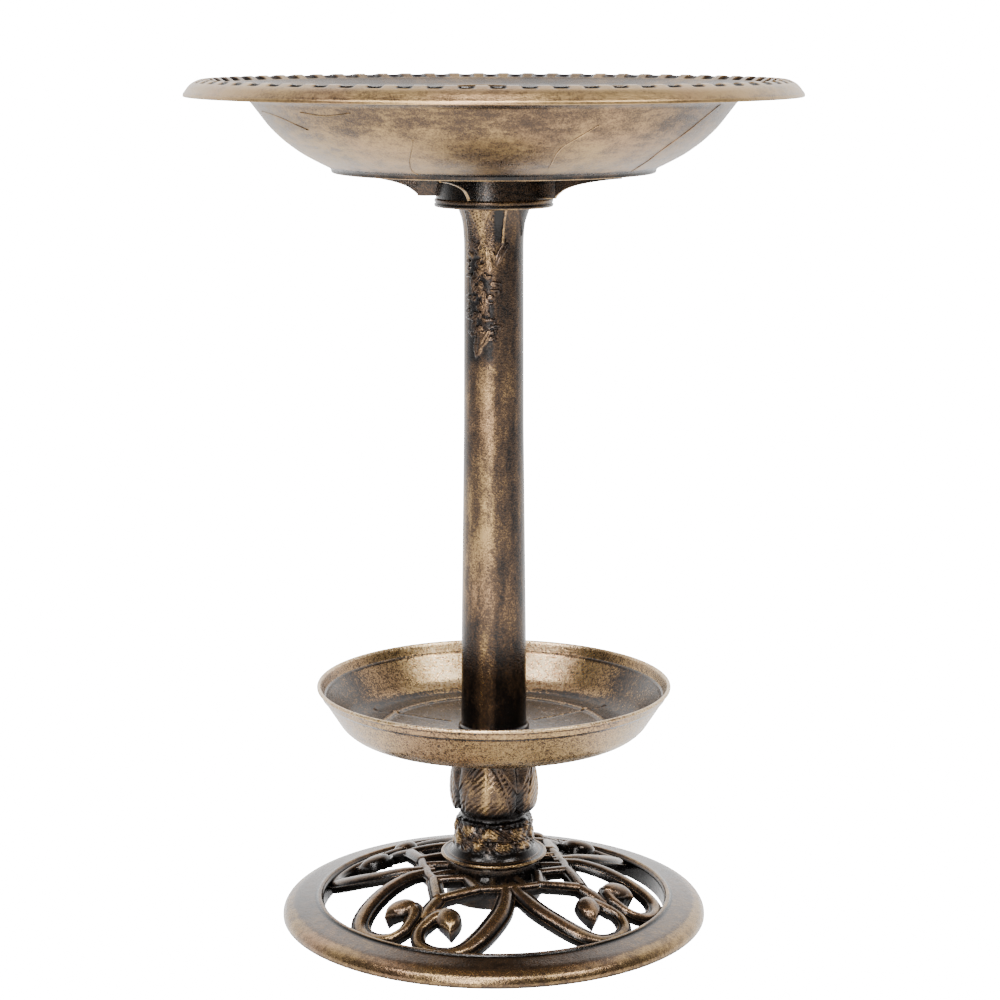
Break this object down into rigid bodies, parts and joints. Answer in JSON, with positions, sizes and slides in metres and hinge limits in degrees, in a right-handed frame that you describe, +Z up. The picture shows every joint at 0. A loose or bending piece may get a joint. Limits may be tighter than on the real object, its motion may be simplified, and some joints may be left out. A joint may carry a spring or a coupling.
{
  "type": "bird bath",
  "caption": "Pedestal bird bath: wide shallow bowl with a notched rim on a slim column, a smaller tray low down, and a round openwork scroll base.",
  "frame": {"origin": "on the ground, at the centre of the round base", "axes": "+Z up the column, -Y towards the viewer's side, which carries the column's ornament"},
  "size_m": [0.5079, 0.508, 0.717],
  "materials": {
    "base_bronze": "satin antique bronze paint, dark recesses and rubbed highlights",
    "stem_bronze": "satin antique bronze paint over leaf relief",
    "tray_bronze": "satin antique bronze paint with fine gold speckle",
    "column_bronze": "satin antique bronze paint with brushed vertical streaks",
    "bowl_bronze": "satin antique bronze paint, cloudy and brushed"
  },
  "bodies": {
    "base": {"base_ring": "base_bronze", "base_hub": "base_bronze", "base_scroll_1": "base_bronze", "base_scroll_2": "base_bronze", "base_scroll_3": "base_bronze", "base_scroll_4": "base_bronze"},
    "lower_stem": {"lower_stem": "stem_bronze"},
    "tray": {"tray": "tray_bronze"},
    "column": {"column": "column_bronze"},
    "bowl": {"bowl": "bowl_bronze", "bowl_rim": "bowl_bronze", "bowl_socket": "bowl_bronze", "bowl_rib_1": "bowl_bronze", "bowl_rib_2": "bowl_bronze", "bowl_rib_3": "bowl_bronze", "bowl_rib_4": "bowl_bronze", "bowl_rib_5": "bowl_bronze"}
  },
  "joints": [
    {"name": "lower_stem_lift", "type": "slide", "parent": "base", "child": "lower_stem", "axis": [0, 0, 1], "range_m": [0, 0.06]},
    {"name": "tray_lift", "type": "slide", "parent": "lower_stem", "child": "tray", "axis": [0, 0, 1], "range_m": [0, 0.08]},
    {"name": "column_lift", "type": "slide", "parent": "tray", "child": "column", "axis": [0, 0, 1], "range_m": [0, 0.08]},
    {"name": "bowl_lift", "type": "slide", "parent": "column", "child": "bowl", "axis": [0, 0, 1], "range_m": [0, 0.05]}
  ]
}
